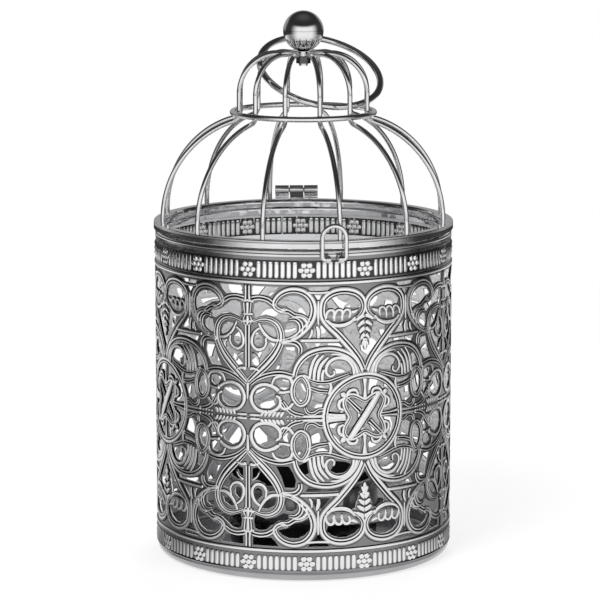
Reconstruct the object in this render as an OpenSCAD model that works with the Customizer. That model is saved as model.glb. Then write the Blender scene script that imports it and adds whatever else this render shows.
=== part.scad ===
// Birdcage tealight box: a pierced metal drum with a hinged wire dome for a lid.
// The origin is the middle of the flat underside; +Z is up, and the lid opens at the front, -Y.

/* [Drum] */
// Outside diameter of the pierced wall
body_d = 80; // [77:0.5:83]
// Height from the underside of the base to the top of the pierced wall
wall_top_z = 86.4; // [83:0.2:92]
// Thickness of the wall's sheet
sheet_t = 0.6; // [0.5:0.05:0.8]
// Height of the lower plain band, above the base
lower_band_h = 7.4; // [6:0.2:9]
// Height of the upper plain band
upper_band_h = 7.8; // [7:0.2:9]
// Turn of the pierced pattern round the drum, from the front
pattern_turn = 21; // [15:1:30]
// Depth that the beads round the bands stand out of the sheet
bead_h = 0.3; // [0.2:0.05:0.4]

/* [Base and candle cup] */
// Thickness of the base plate
base_t = 0.8; // [0.6:0.1:1.2]
// Radius of the base plate's rounded edge
base_round = 1.8; // [1.2:0.1:2.2]
// Height of the base plate's flange inside the wall
base_flange_h = 3.4; // [2:0.2:5]
// Inside diameter of the candle cup
cup_bore_d = 39; // [38:0.5:42]
// Height of the candle cup
cup_h = 19.6; // [14:0.2:24]
// Thickness of the candle cup's wall
cup_t = 0.6; // [0.5:0.1:0.9]

/* [Rims] */
// Height of the rolled rim on top of the wall
body_rim_h = 1.9; // [1.6:0.1:2.4]
// Width of the rolled rim on top of the wall
body_rim_w = 1.5; // [1.3:0.1:1.8]
// Gap between the two rims when the lid is shut
rim_gap = 0.3; // [0.3:0.05:0.6]
// Height of the lid's channel ring
lid_rim_h = 2; // [1.8:0.1:2.6]
// Width of the lid's channel ring
lid_rim_w = 3.1; // [2.8:0.1:3.6]
// Distance that the lid's ring stands out past the wall
lid_overhang = 0.5; // [0.4:0.1:0.8]

/* [Wire dome] */
// Number of ribs
rib_count = 12; // [12:1:12]
// Diameter of the rib wire
rib_d = 1.3; // [1.1:0.1:1.5]
// Turn of the first rib from the front
rib_turn = 11.5; // [9:0.5:14]
// Radius of the dome's curve, from the lid's ring up to the neck
dome_arc_r = 26.7; // [25:0.1:28]
// Radius of the crown above the neck
crown_r = 17.7; // [16.5:0.1:19]
// Radius of the crown's shoulder curve
crown_arc_r = 10.4; // [9.5:0.1:11.5]
// Height of the straight stretch between the neck and the shoulder
crown_rise = 5.4; // [4.5:0.1:6.5]
// Bend radius of the wire at the neck
neck_bend_r = 2; // [1.7:0.1:2.4]
// Diameter of the wire of the neck ring
neck_ring_wire_d = 1.5; // [1.2:0.1:1.8]

/* [Finial] */
// Diameter of the ball
ball_d = 10.9; // [9:0.1:12]
// Diameter of the hub that gathers the ribs
hub_d = 6.4; // [6:0.1:7.5]
// Thickness of the hub
hub_h = 1.4; // [1.3:0.1:1.8]
// Diameter of the ball's stud
stud_d = 2.4; // [2:0.1:2.8]
// Diameter of the nut below the hub
nut_d = 3.9; // [3.6:0.1:4.4]
// Height of the nut below the hub
nut_h = 2; // [1.6:0.1:2.4]

/* [Ring handle] */
// Radius of the ring, to the middle of its wire
ring_r = 16.7; // [16.4:0.1:17]
// Diameter of the ring's wire
ring_wire_d = 1.8; // [1.6:0.1:1.9]
// Lean of the resting ring from level, its back up
ring_lean = 26.6; // [25:0.2:28]
// Tilt of the resting ring to one side
ring_roll = 13; // [12:0.2:14]

/* [Clasp] */
// Turn of the clasp from the front
clasp_turn = 8.4; // [6:0.2:11]
// Diameter of the clasp's wire
clasp_wire_d = 1.2; // [1:0.1:1.3]
// Width of the clasp loop, outside
clasp_w = 7.5; // [7:0.1:8.5]
// Height of the clasp loop above its pivot
clasp_rise = 9.3; // [8.5:0.1:10.5]
// Radial clearance of the clasp's feet in their eyes
clasp_fit = 0.05; // [0.03:0.01:0.1]

/* [Hinge] */
// Length of the hinge barrel
hinge_w = 12; // [10:0.5:14]
// Outside diameter of the hinge barrel
knuckle_d = 2.6; // [2.4:0.1:3]
// Diameter of the hinge pin
pin_d = 1.2; // [1:0.1:1.4]
// Radial clearance of the pin in the lid's knuckle
pin_fit = 0.05; // [0.03:0.01:0.1]
// Gap between two knuckles
knuckle_gap = 0.3; // [0.2:0.05:0.5]
// Thickness of the hinge strips
leaf_t = 0.6; // [0.5:0.1:0.7]

/* [Hidden] */
$fn = 96;
eps = 0.01;
chrome = "silver";
steel = "lightslategray";

// Drum
body_r = body_d / 2;
wall_z = base_round;
zone_z = wall_z + lower_band_h;
zone_top_z = wall_top_z - upper_band_h;
zone_mid_z = (zone_z + zone_top_z) / 2;
repeats = 4;
tile_a = 180 / repeats;
bead_w = 0.9;

// Rims
body_rim_r = body_r + 0.1;
body_rim_top_z = wall_top_z + body_rim_h;
lid_z = body_rim_top_z + rim_gap;
lid_top_z = lid_z + lid_rim_h;
lid_rim_r = body_r + lid_overhang;
lid_rim_t = 0.5;
lid_bead_r = 0.3;
collar_h = 0.45;

// Rib, as a row of arcs that run smoothly into each other
rib_r = rib_d / 2;
solder = 0.05;
foot_r = lid_rim_r - lid_rim_w / 2 - 0.25;
foot_z = lid_top_z - solder;
dome_z = foot_z + 1.4;
foot_a = asin((dome_z - foot_z) / dome_arc_r);
dome_c = foot_r - dome_arc_r * cos(foot_a);
bend_c = crown_r + neck_bend_r;
neck_z = dome_z + sqrt(pow(dome_arc_r + neck_bend_r, 2) - pow(bend_c - dome_c, 2));
neck_a = atan2(neck_z - dome_z, bend_c - dome_c);
crown_z = neck_z + crown_rise;
crown_c = crown_r - crown_arc_r;
top_z = crown_z + crown_arc_r;
neck_ring_r = crown_r + rib_r + neck_ring_wire_d / 2 - solder;

// Finial
hub_r = hub_d / 2;
hub_z = top_z - hub_h / 2;
hub_top_z = hub_z + hub_h;
ball_z = hub_top_z + ball_d / 2 - 0.15;
stud_tip = 0.6;
stud_fit = 0.05;

// Ring handle: the middle of the resting ring, seen from the side it lies to
ring_turn = -2.7;
ring_x = 4.55;
ring_y = 8;
ring_z = neck_z + 10.1;

// Clasp: a bail that pivots in two eyes under the body rim
clasp_wire_r = clasp_wire_d / 2;
clasp_leg_x = clasp_w / 2 - clasp_wire_r;
clasp_gap = 0.45;
clasp_r = lid_rim_r + clasp_gap + clasp_wire_r;
clasp_z = wall_top_z - 0.5;
clasp_bend_r = 0.9;
eye_d = clasp_wire_d + 0.9;
eye_w = 1.1;
eye_x = clasp_leg_x - clasp_wire_r - 0.3 - eye_w / 2;
eye_foot_h = 0.9;

// Hinge: a barrel behind the lid's ring, on two strips
knuckle_r = knuckle_d / 2;
knuckle_w = (hinge_w - 2 * knuckle_gap) / 3;
arm_y = lid_rim_r + 0.4;
hinge_y = arm_y + 1;
hinge_z = lid_top_z + 2.2;
leaf_z = zone_top_z + 2.4;
leaf_bend_z = wall_top_z - 0.6;
arm_rise = 1.6;

// Points along an arc about c, from angle a to angle b
function arc(c, r, a, b, n = 5) =
    [for (i = [0 : n]) c + r * [cos(a + (b - a) * i / n), sin(a + (b - a) * i / n)]];

// A bent length of wire about the origin, from angle a to angle b
module wire_arc(r, d, a, b) {
    rotate([0, 0, a])
        rotate_extrude(angle = b - a)
            translate([r, 0])
                circle(d = d);
}

// A straight length of wire along +Y
module wire(d, length) {
    rotate([-90, 0, 0]) cylinder(h = length, d = d);
}

// A strip seen from its side, y outward and z up, as wide as w
module strip(profile, w) {
    rotate([90, 0, 90]) linear_extrude(height = w, center = true) polygon(profile);
}

// ---- The pierced wall ----
// The pattern repeats four times round the drum and mirrors in each repeat, and top to bottom.
// Each opening is drawn flat on one half of a repeat: x runs from the axis through the flower
// to the axis through the medallion, and y runs up from the middle of the wall.
draw_w = 31.25;
draw_h = 34.7;
across = tile_a / draw_w;
up = (zone_top_z - zone_z) / 2 / draw_h;

// Flower: gaps beside the stem, under its arch and inside the heart, with a curl and a petal
arch_gap = [[1.3, 34.6], [8.4, 34.6], [7.5, 33.2], [6.3, 32.1], [3.8, 32.4], [1.4, 32.2]];
stem_gap = [[2, 29.9], [3.3, 30.5], [4.9, 30.3], [6.2, 29.2], [8.4, 27.7], [10.6, 27.5],
    [11.5, 26.6], [11, 25.7], [9.6, 25.4], [7.6, 26.6], [5, 27.2], [2.1, 26.2], [1.7, 28]];
heart_gap = [[6, 19.9], [7.7, 19.6], [7.6, 18], [6.1, 15.6], [3.6, 13.2], [1.3, 13.9],
    [1.3, 16.9], [3, 17.1], [4.7, 17.9]];
curl_hole = [[2.5, 22.5], [4, 21.2], [4, 19.7], [2.9, 18.9], [1.9, 19.5], [1.8, 21.1]];
petal_hole = [[3.9, 24.4], [5.5, 24.6], [7.2, 23.7], [7.9, 22.1], [7.5, 21.3], [6, 21.8],
    [4.6, 23]];
flower_openings = [arch_gap, stem_gap, heart_gap, curl_hole, petal_hole];

// Outer lobe of the flower, with its leaf
lobe_crescent = [[8.1, 30.1], [9.4, 31.5], [11.2, 32.3], [13.4, 32.3], [15.2, 31.4],
    [16.4, 30], [16.7, 28], [16.2, 26.9], [14.4, 27.8], [12.3, 28.2], [10.6, 29.5]];
leaf_gap = [[10.4, 24.9], [11.8, 25.2], [13.1, 24.4], [13.1, 22.9], [11.8, 21.6],
    [10.4, 21.2], [9.9, 22.6]];
lobe_openings = [lobe_crescent, leaf_gap];

// Acanthus scroll that springs from the medallion
side_gap = [[10, 18.8], [12.5, 18.8], [12.9, 16.6], [12.1, 14.6], [11, 12.9], [7.6, 12.9],
    [9.2, 16]];
scroll_hole = [[13.5, 12.6], [14.2, 14.3], [15.4, 15.2], [16.3, 14.8], [15.9, 12.9],
    [15.8, 11.5]];
whorl_hole = [[21.8, 14.2], [23.3, 15.1], [25.4, 15], [27, 14], [27.7, 12.7], [25.8, 11.9],
    [23, 11.5], [22.5, 12.9]];
scroll_slot = [[15.2, 19.9], [24.3, 19.7], [25.2, 18.3], [22, 18.9], [19, 19], [16, 18.4]];
scroll_openings = [side_gap, scroll_hole, whorl_hole, scroll_slot];

// Small links between the lobes
palmette_gap = [[17, 21.5], [18.2, 21.5], [18.3, 24.4], [17.5, 23.2]];
palmette_corner = [[19.2, 24.4], [19.6, 24.4], [22.2, 21.4], [19.2, 21.4]];
band_slot = [[15.9, 34.6], [21.8, 34.6], [21, 33.6], [16.5, 33.6]];
band_corner = [[17.4, 32.8], [20.2, 32.8], [18.9, 30.7]];
link_openings = [palmette_gap, palmette_corner, band_slot, band_corner];

// Middle of the wall: a C-scroll against the flower's axis, an oval and a knot
c_hole = [[2.1, 3.4], [3.8, 2.4], [6, 2.4], [7.6, 3.5], [7.8, 5], [7, 6.9], [4.6, 7.9],
    [2.6, 7], [1.8, 5.2]];
c_top_hole = [[7.8, 9.7], [9.4, 10.3], [11, 9.9], [11.2, 8.2], [10, 7.4], [8.6, 7.9]];
c_side_hole = [[9.6, 6.2], [11, 6.5], [11.4, 4.6], [10.8, 3], [9.6, 3.5]];
oval_hole = [[13.4, 10], [14.8, 8.9], [15.6, 7], [15.3, 5], [14.1, 4.3], [13, 5.4],
    [12.7, 7.4], [12.8, 9]];
knot_slot = [[16.8, 9.4], [19.2, 9], [21.6, 9.1], [21.6, 7.9], [18.8, 8.1], [17.2, 8.6]];
knot_gap = [[16.9, 6.8], [19, 6.5], [20.9, 6], [20.1, 4], [19.8, 2.6], [17.8, 2.6],
    [16.4, 3.4], [16.9, 5.2]];
middle_openings = [c_hole, c_top_hole, c_side_hole, oval_hole, knot_slot, knot_gap];

// Heart above the medallion: its crescent, and half of the window round its palmette
heart_crescent = [[20.8, 30.4], [22.2, 31.6], [24.1, 32.3], [26.2, 32.3], [28.6, 31.3],
    [30.1, 29.9], [29.9, 28.9], [26.9, 28.9], [25.4, 28.4], [23.3, 28.5], [21.2, 29]];
window_top = [[25.2, 23.7], [25.8, 24.2], [27.6, 25], [28.8, 24.7], [29.1, 23.2],
    [29.9, 21.2]];
window_foot = [[29.8, 16.6], [28, 18.9], [25.4, 21.8]];
palmette_tip = [draw_w, 18.9];
window_point = [draw_w, 14.6];

half_openings = concat(flower_openings, lobe_openings, scroll_openings, link_openings,
    middle_openings, [heart_crescent]);

// Medallion: a round frame, a wavy lattice of four lobes and a cross
medallion_r = 10.2;
lattice_r = 5.9;
lattice_wave = 1.6;
lattice_w = 1.1;
stem_a = 8;
cross_w = 0.9;
function lattice(a) = (lattice_r - lattice_wave * cos(4 * a) + lattice_w / 2) * [cos(a), sin(a)];
medallion_gap = concat(arc([0, 0], medallion_r, stem_a, 90 - stem_a, 6),
    [for (a = [90 - stem_a : -9.25 : stem_a]) lattice(a)]);
lattice_hole = [[cross_w, 0], [2.6, 1.8], [4.2, 3.2], [4.6, 1.9], [3.8, 0], [4.6, -1.9],
    [4.2, -3.2], [2.6, -1.8]];

function flipped(p) = [for (i = [len(p) - 1 : -1 : 0]) [2 * draw_w - p[i][0], p[i][1]]];
heart_window = concat(window_top, [palmette_tip], flipped(window_top), flipped(window_foot),
    [window_point], window_foot);

// A flat drawing, laid on the plane that faces the wall where x is x0
function laid(p, x0) = [for (q = p) [body_r * sin((q[0] - x0) * across), q[1] * up]];

// Cuts its flat children through the wall, at angle a from the front
module punch(a) {
    depth = 6;
    rotate([0, 0, a + pattern_turn])
        translate([0, depth * 0.7 - body_r, zone_mid_z])
            rotate([90, 0, 0])
                linear_extrude(height = depth) children();
}

module half_repeat_openings() {
    for (top = [0, 1])
        mirror([0, top])
            for (p = half_openings)
                polygon(laid(p, draw_w / 2));
}

// The wall's section: a plain sheet with a bead along each edge of the bands
module wall_section() {
    beads = [wall_z + bead_w, zone_z - bead_w, zone_top_z + bead_w];
    polygon(concat([[body_r - sheet_t, wall_z], [body_r, wall_z]],
        [for (z = beads) for (q = arc([body_r, z], 1, -90, 90, 4))
            [body_r + (q[0] - body_r) * bead_h, z + (q[1] - z) * bead_w / 2]],
        [[body_r, wall_top_z], [body_r - sheet_t, wall_top_z]]));
}

module wall() {
    color(chrome)
        difference() {
            rotate_extrude() wall_section();
            for (i = [0 : repeats - 1]) {
                a = 2 * i * tile_a;
                punch(a + 1.5 * tile_a) half_repeat_openings();
                punch(a + 0.5 * tile_a) mirror([1, 0]) half_repeat_openings();
                for (top = [0, 1])
                    punch(a) mirror([0, top]) polygon(laid(heart_window, draw_w));
                for (q = [0 : 90 : 270])
                    punch(a) rotate([0, 0, q]) polygon(medallion_gap);
                for (q = [0 : 90 : 270])
                    punch(a) rotate([0, 0, q]) polygon(lattice_hole);
            }
        }
}

// ---- Drum ----
// Rolled rim that caps the sheet's upper edge, over a narrow collar
module body_rim() {
    inner_r = body_rim_r - body_rim_w;
    round_r = body_rim_w / 2;
    round_c = [inner_r + round_r, body_rim_top_z - round_r];
    under = min(0.85, (round_c[1] - wall_top_z - collar_h - 0.1) / round_r);
    color(chrome)
        rotate_extrude()
            polygon(concat([[inner_r, wall_top_z], [body_rim_r, wall_top_z],
                [body_rim_r, wall_top_z + collar_h]], arc(round_c, round_r, -asin(under), 180, 10)));
}

// Pressed plate with a rounded edge and a flange that stands inside the wall
module base_plate() {
    flange_r = body_r - sheet_t;
    flange_z = wall_z + base_flange_h;
    color(chrome)
        rotate_extrude()
            polygon(concat([[0, 0]],
                arc([body_r - base_round, base_round], base_round, -90, 0),
                [[flange_r, wall_z], [flange_r, flange_z], [flange_r - base_t, flange_z]],
                arc([flange_r - base_t - 1, base_t + 1], 1, 0, -90, 4),
                [[0, base_t]]));
}

// Drawn cup for a tealight, with a rolled lip
module candle_cup() {
    bore_r = cup_bore_d / 2;
    out_r = bore_r + cup_t;
    z = base_t + cup_h;
    lip_r = 0.7;
    corner_r = 1.6;
    color(chrome)
        rotate_extrude()
            polygon(concat([[0, base_t]],
                arc([out_r - corner_r, base_t + corner_r], corner_r, -90, 0),
                arc([out_r + 0.1, z - lip_r], lip_r, -60, 90),
                [[bore_r, z]],
                arc([out_r - corner_r, base_t + corner_r], corner_r - cup_t, 0, -90),
                [[0, base_t + cup_t]]));
}

// ---- Lid ----
// Channel ring, open below, with a bead round its upper edge
module lid_rim() {
    inner_r = lid_rim_r - lid_rim_w;
    t = lid_rim_t;
    round_r = 0.9;
    round_c = [lid_rim_r - round_r, lid_top_z - round_r];
    inner_c = [inner_r + round_r, lid_top_z - round_r];
    bead_c = [lid_rim_r - lid_bead_r - 0.05, lid_top_z - lid_bead_r];
    groove_z = lid_top_z - 2 * lid_bead_r;
    color(chrome)
        rotate_extrude()
            polygon(concat([[lid_rim_r - t, lid_z], [lid_rim_r, lid_z], [lid_rim_r, groove_z - 0.2],
                [lid_rim_r - 0.1, groove_z - 0.1]], arc(bead_c, lid_bead_r, -75, 90, 6),
                arc(inner_c, round_r, 90, 180), [[inner_r, lid_z], [inner_r + t, lid_z]],
                arc(inner_c, round_r - t, 180, 90), arc(round_c, round_r - t, 90, 0)));
}

// Wire ring that the ribs pass inside, at the neck of the dome
module neck_ring() {
    color(chrome)
        translate([0, 0, neck_z])
            rotate_extrude()
                translate([neck_ring_r, 0])
                    circle(d = neck_ring_wire_d);
}

// One rib: up the dome, round the neck bend, up the crown and in to the hub
module rib(n) {
    bend_end = [bend_c, neck_z] - neck_bend_r * [cos(neck_a), sin(neck_a)];
    color(chrome)
        rotate([90, 0, rib_turn + (n - 1) * 360 / rib_count - 90]) {
            translate([dome_c, dome_z]) wire_arc(dome_arc_r, rib_d, -foot_a, neck_a);
            translate([bend_c, neck_z]) wire_arc(neck_bend_r, rib_d, 180, 180 + neck_a);
            translate([crown_r, neck_z]) wire(rib_d, crown_rise);
            translate([crown_c, crown_z]) wire_arc(crown_arc_r, rib_d, 0, 90);
            translate([crown_c, top_z]) rotate([0, 0, 90]) wire(rib_d, crown_c - hub_r + solder);
            for (q = [bend_end, [crown_r, neck_z], [crown_r, crown_z], [crown_c, top_z]])
                translate(q) sphere(d = rib_d + 0.04);
        }
}

// Disc that the ends of the ribs are soldered to
module crown_hub() {
    edge = 0.15;
    bore_r = stud_d / 2 + stud_fit;
    color(chrome)
        rotate_extrude()
            polygon([[bore_r, hub_z], [hub_r - edge, hub_z], [hub_r, hub_z + edge],
                [hub_r, hub_top_z - edge], [hub_r - edge, hub_top_z], [bore_r, hub_top_z]]);
}

// Ball on a stud that goes down through the hub
module ball_finial() {
    stud_h = hub_h + nut_h + stud_tip;
    color(chrome) {
        intersection() {
            translate([0, 0, ball_z]) sphere(d = ball_d);
            translate([0, 0, hub_top_z + ball_d]) cube(2 * ball_d, center = true);
        }
        translate([0, 0, hub_top_z - stud_h]) cylinder(h = stud_h + ball_d / 4, d = stud_d);
    }
}

module finial_nut() {
    color(steel)
        translate([0, 0, hub_z - nut_h])
            difference() {
                cylinder(h = nut_h, d = nut_d, $fn = 6);
                translate([0, 0, -eps]) cylinder(h = nut_h + 2 * eps, d = stud_d + 2 * stud_fit);
            }
}

// Loose ring, threaded through two gaps between the ribs
module ring_handle() {
    color(chrome)
        rotate([0, 0, ring_turn])
            translate([ring_x, ring_y, ring_z])
                rotate([0, ring_roll, 0])
                    rotate([ring_lean, 0, 0])
                        rotate_extrude()
                            translate([ring_r, 0])
                                circle(d = ring_wire_d);
}

// ---- Clasp ----
// Puts its children at the clasp: x along its pivot, y inward, z up
module at_clasp() {
    rotate([0, 0, clasp_turn]) translate([0, -clasp_r, clasp_z]) children();
}

// Two eyes for the bail's feet, each on a small block soldered to the upper band
module clasp_barrel() {
    depth = clasp_r - body_r + 0.3;
    color(chrome)
        difference() {
            at_clasp()
                for (side = [-1, 1])
                    translate([side * eye_x, 0, 0]) {
                        rotate([0, 90, 0])
                            cylinder(h = eye_w, d = eye_d, center = true);
                        translate([-eye_w / 2, 0, -eye_foot_h])
                            cube([eye_w, depth, eye_foot_h + 0.3]);
                    }
            at_clasp()
                rotate([0, 90, 0])
                    cylinder(h = clasp_w, d = clasp_wire_d + 2 * clasp_fit, center = true);
            cylinder(h = wall_top_z, r = body_r);
        }
}

// Bail of one wire: two feet in the eyes, two legs and a round bow
module clasp_loop() {
    bow_z = clasp_rise - clasp_w / 2;
    foot_x = clasp_leg_x - clasp_bend_r;
    foot_w = foot_x - eye_x + eye_w / 2 + 0.15;
    color(chrome)
        at_clasp()
            rotate([90, 0, 0]) {
                for (side = [0, 1])
                    mirror([side, 0]) {
                        translate([foot_x, 0])
                            rotate([0, 0, 90]) wire(clasp_wire_d, foot_w);
                        translate([foot_x, clasp_bend_r])
                            wire_arc(clasp_bend_r, clasp_wire_d, -90, 0);
                        translate([clasp_leg_x, clasp_bend_r])
                            wire(clasp_wire_d, bow_z - clasp_bend_r);
                    }
                translate([0, bow_z]) wire_arc(clasp_leg_x, clasp_wire_d, 0, 180);
            }
}

// ---- Hinge ----
module knuckle(x, w, bore_d) {
    translate([x, hinge_y, hinge_z])
        rotate([0, 90, 0])
            difference() {
                cylinder(h = w, d = knuckle_d, center = true);
                cylinder(h = w + 1, d = bore_d, center = true);
            }
}

// Strip welded to the upper band, with two knuckles on arms that pass behind the lid's ring
module hinge_body_leaf() {
    t = leaf_t;
    knuckle_x = knuckle_w + knuckle_gap;
    arm_z = leaf_bend_z + arm_rise;
    arm_top_z = hinge_z - 0.9;
    color(chrome) {
        strip([[body_r, leaf_z], [body_r + t, leaf_z], [body_r + t, leaf_bend_z - t / 2],
            [arm_y + t, arm_z - t / 2], [arm_y + t, arm_z + t], [arm_y, arm_z + t],
            [arm_y, arm_z], [body_r, leaf_bend_z]], hinge_w);
        for (x = [-knuckle_x, knuckle_x]) {
            translate([x, 0, 0])
                strip([[arm_y, arm_z], [arm_y + t, arm_z], [arm_y + t, arm_top_z],
                    [arm_y, arm_top_z]], knuckle_w);
            knuckle(x, knuckle_w, pin_d);
        }
    }
}

// Strip on top of the lid's ring, with the middle knuckle
module hinge_lid_leaf() {
    t = leaf_t;
    seat_y = lid_rim_r - 0.8;
    color(chrome) {
        strip([[foot_r - 0.9, lid_top_z], [seat_y, lid_top_z], [hinge_y - 0.8, hinge_z - 0.9],
            [hinge_y - 0.9, hinge_z], [hinge_y - 1.1, hinge_z - 0.1],
            [seat_y - t / 2, lid_top_z + t], [foot_r - 0.9, lid_top_z + t]], knuckle_w);
        knuckle(0, knuckle_w, pin_d + 2 * pin_fit);
    }
}

module hinge_pin() {
    color(steel)
        translate([0, hinge_y, hinge_z])
            rotate([0, 90, 0])
                cylinder(h = hinge_w, d = pin_d, center = true);
}

wall();
body_rim();
base_plate();
candle_cup();
hinge_body_leaf();
hinge_pin();
clasp_barrel();
clasp_loop();
lid_rim();
hinge_lid_leaf();
neck_ring();
rib(1);  // rib_01
rib(2);  // rib_02
rib(3);  // rib_03
rib(4);  // rib_04
rib(5);  // rib_05
rib(6);  // rib_06
rib(7);  // rib_07
rib(8);  // rib_08
rib(9);  // rib_09
rib(10);  // rib_10
rib(11);  // rib_11
rib(12);  // rib_12
crown_hub();
ball_finial();
finial_nut();
ring_handle();
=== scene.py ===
import math

import bpy
import numpy as np
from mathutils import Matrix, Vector


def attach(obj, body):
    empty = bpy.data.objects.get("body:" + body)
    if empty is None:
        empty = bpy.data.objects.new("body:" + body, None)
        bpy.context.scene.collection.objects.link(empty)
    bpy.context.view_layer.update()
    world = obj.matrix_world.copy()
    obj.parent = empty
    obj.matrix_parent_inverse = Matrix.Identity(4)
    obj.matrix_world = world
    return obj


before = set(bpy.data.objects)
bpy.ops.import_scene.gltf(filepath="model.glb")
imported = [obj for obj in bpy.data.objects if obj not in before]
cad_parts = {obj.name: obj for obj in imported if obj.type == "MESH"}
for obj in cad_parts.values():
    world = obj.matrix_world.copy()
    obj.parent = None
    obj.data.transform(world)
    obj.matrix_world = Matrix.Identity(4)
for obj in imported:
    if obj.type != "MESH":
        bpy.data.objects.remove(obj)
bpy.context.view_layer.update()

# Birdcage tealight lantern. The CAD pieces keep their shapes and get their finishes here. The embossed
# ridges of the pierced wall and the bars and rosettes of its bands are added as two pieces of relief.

scene = bpy.context.scene
MM = 0.001

# ---------------------------------------------------------------- camera, fitted to the photograph
CAMERA_AZ = -2.7          # degrees round the object from its front
CAMERA_PITCH = 9.855      # degrees down
CAMERA_DISTANCE = 0.7949  # from the object's axis along the floor, in metres
CAMERA_HEIGHT = 0.2063    # in metres
PHOTO_PX = 600            # width and height of the photograph
FOCAL_PX = 2965.7         # focal length, in pixels of the photograph
SHIFT_PX = -3.36          # sideways shift of the picture, in the same pixels
SENSOR = 36               # width, in millimetres


def add_camera():
    """The camera at the photograph's angle, aimed at the object."""
    data = bpy.data.cameras.new("camera")
    data.sensor_width = SENSOR
    data.lens = FOCAL_PX / PHOTO_PX * SENSOR
    data.shift_x = SHIFT_PX / PHOTO_PX
    data.clip_start = 0.01
    data.clip_end = 50
    az = math.radians(CAMERA_AZ)
    cam = bpy.data.objects.new("camera", data)
    cam.location = (math.sin(az) * CAMERA_DISTANCE, -math.cos(az) * CAMERA_DISTANCE, CAMERA_HEIGHT)
    cam.rotation_euler = (math.pi / 2 - math.radians(CAMERA_PITCH), 0, az)
    scene.collection.objects.link(cam)
    scene.camera = cam


add_camera()

# ---------------------------------------------------------------- dimensions, in millimetres
R = 40.0              # outside of the wall
SHEET = 0.6           # its thickness
MID_Z = 43.9          # height of the middle of its pattern
REPEATS = 4           # of the pattern, round the drum
S = 31.25             # half a repeat in the flat drawing, from a flower's axis to a medallion's
DEG = 180 / REPEATS / S   # degrees round the drum for one unit of the drawing
TURN = 21.0           # azimuth of the first medallion, from the front

HEIGHT = 0.24         # how far the ridges stand proud outside
BACK_HEIGHT = 0.12    # and their backs inside
SPREAD = 1.14         # how much wider a stroke is than its ridges, for the painted shade along its foot
POINT_SPACING = 0.7   # along a stroke, in units of the drawing
NO_LENGTH = 1e-12     # keeps a division by a length from failing at 0

HOOPS = (79.5, 8.3)   # heights of the raised lines beside the bands
HOOP_WIDTH = 1.15
HOOP_RISE = 0.34
HOOP_STEP = 2         # degrees between the corners of what goes all round

# Bands of bars and rosettes: bottom, top, ridge value of the strip of painted shade behind them, and True
# where the inside of the wall has them too
BANDS = (
    (80.6, 85.3, 0.2, True),
    (2.8, 7.0, 0.34, False),
)
STRIP_MARGIN = 0.15   # of the strip, past a band's edges
STRIP_RISE = 0.02     # of the strip over the sheet, outside
STRIP_BACK = 0.01     # and inside
SINK = 0.02           # how far bars and dots reach into the sheet
ROSETTES = 16         # round each band
PETALS = 6
PETAL_PLACE = 1.52    # from the middle of a rosette
DOT_RADIUS = 0.84
DOT_RISE = 0.38
DOT_SHARP = 1.9       # how fast its ridge value grows from the painted shade at its foot
DOT_SIDES = 12        # corners round it
DOT_LEVELS = 4        # rings of them under its top
BARS = 7              # between two rosettes
BAR_SPACING = 1.6
BAR_WIDTH = 1.3
BAR_RISE = 0.26
BAR_SHARP = 1.5       # how fast its ridge value grows from its foot
BAR_FOOT = 0.35       # and how much of that stays dark, as painted shade
BAR_SIDES = 2.2       # power of its fall to the sides, where 2 is round and more is flatter
BAR_ENDS = 4          # and to its ends
BAR_COLUMNS = 7       # corners across it
BAR_LEVELS = 11       # and up it


# ---------------------------------------------------------------- mesh building
class Relief:
    """Collects patches of mesh. Each vertex has a ridge value, from 0 in a groove to 1 on a ridge; low
    values are painted dark, as shade.
    """

    def __init__(self):
        self.verts = []
        self.ridges = []
        self.faces = {4: [], 3: []}    # by number of corners
        self.count = 0

    def add(self, verts, faces, ridge, flip=False):
        """faces is a list of arrays of quads or triangles, and flip turns them inside out."""
        for patch in faces:
            patch = np.asarray(patch)
            if flip:
                patch = patch[:, ::-1]
            self.faces[patch.shape[1]].append(patch + self.count)
        self.verts.append(np.asarray(verts, float))
        self.ridges.append(np.asarray(ridge, float))
        self.count += len(verts)

    def build(self, name, body, material):
        corners = np.concatenate(self.verts) * MM
        faces = []
        for patches in self.faces.values():
            if patches:
                faces += np.concatenate(patches).tolist()
        mesh = bpy.data.meshes.new(name)
        mesh.from_pydata(corners.tolist(), [], faces)
        mesh.polygons.foreach_set("use_smooth", [True] * len(mesh.polygons))
        level = mesh.attributes.new("ridge", "FLOAT", "POINT")
        level.data.foreach_set("value", np.concatenate(self.ridges))
        mesh.materials.append(material)
        mesh.update()
        obj = bpy.data.objects.new(name, mesh)
        scene.collection.objects.link(obj)
        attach(obj, body)


def on_drum(radius, az, z):
    """Points at these radii, azimuths in radians and heights."""
    radius, az, z = np.broadcast_arrays(radius, az, z)
    return np.stack([radius * np.sin(az), -radius * np.cos(az), z], -1)


def off_wall(rise, inside):
    """The radius of what stands proud of the wall by rise, outside or inside."""
    return R - SHEET - rise if inside else R + rise


def spline(points, closed=False):
    """A smooth line through the points (a Catmull-Rom spline), sampled about every POINT_SPACING."""
    p = np.asarray(points, float)
    n = len(p)
    out = []
    for i in range(n if closed else n - 1):
        if closed:
            a, b, c, d = [p[(i + k) % n] for k in (-1, 0, 1, 2)]
        else:
            a, b, c, d = [p[min(max(i + k, 0), n - 1)] for k in (-1, 0, 1, 2)]
        steps = max(2, int(round(np.linalg.norm(c - b) / POINT_SPACING)))
        for j in range(steps):
            u = j / steps
            slope = (c - a) * u
            bend = (2 * a - 5 * b + 4 * c - d) * u * u
            twist = (3 * b - a - 3 * c + d) * u ** 3
            out.append(0.5 * (2 * b + slope + bend + twist))
    if not closed:
        out.append(p[-1])
    return np.array(out)
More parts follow.
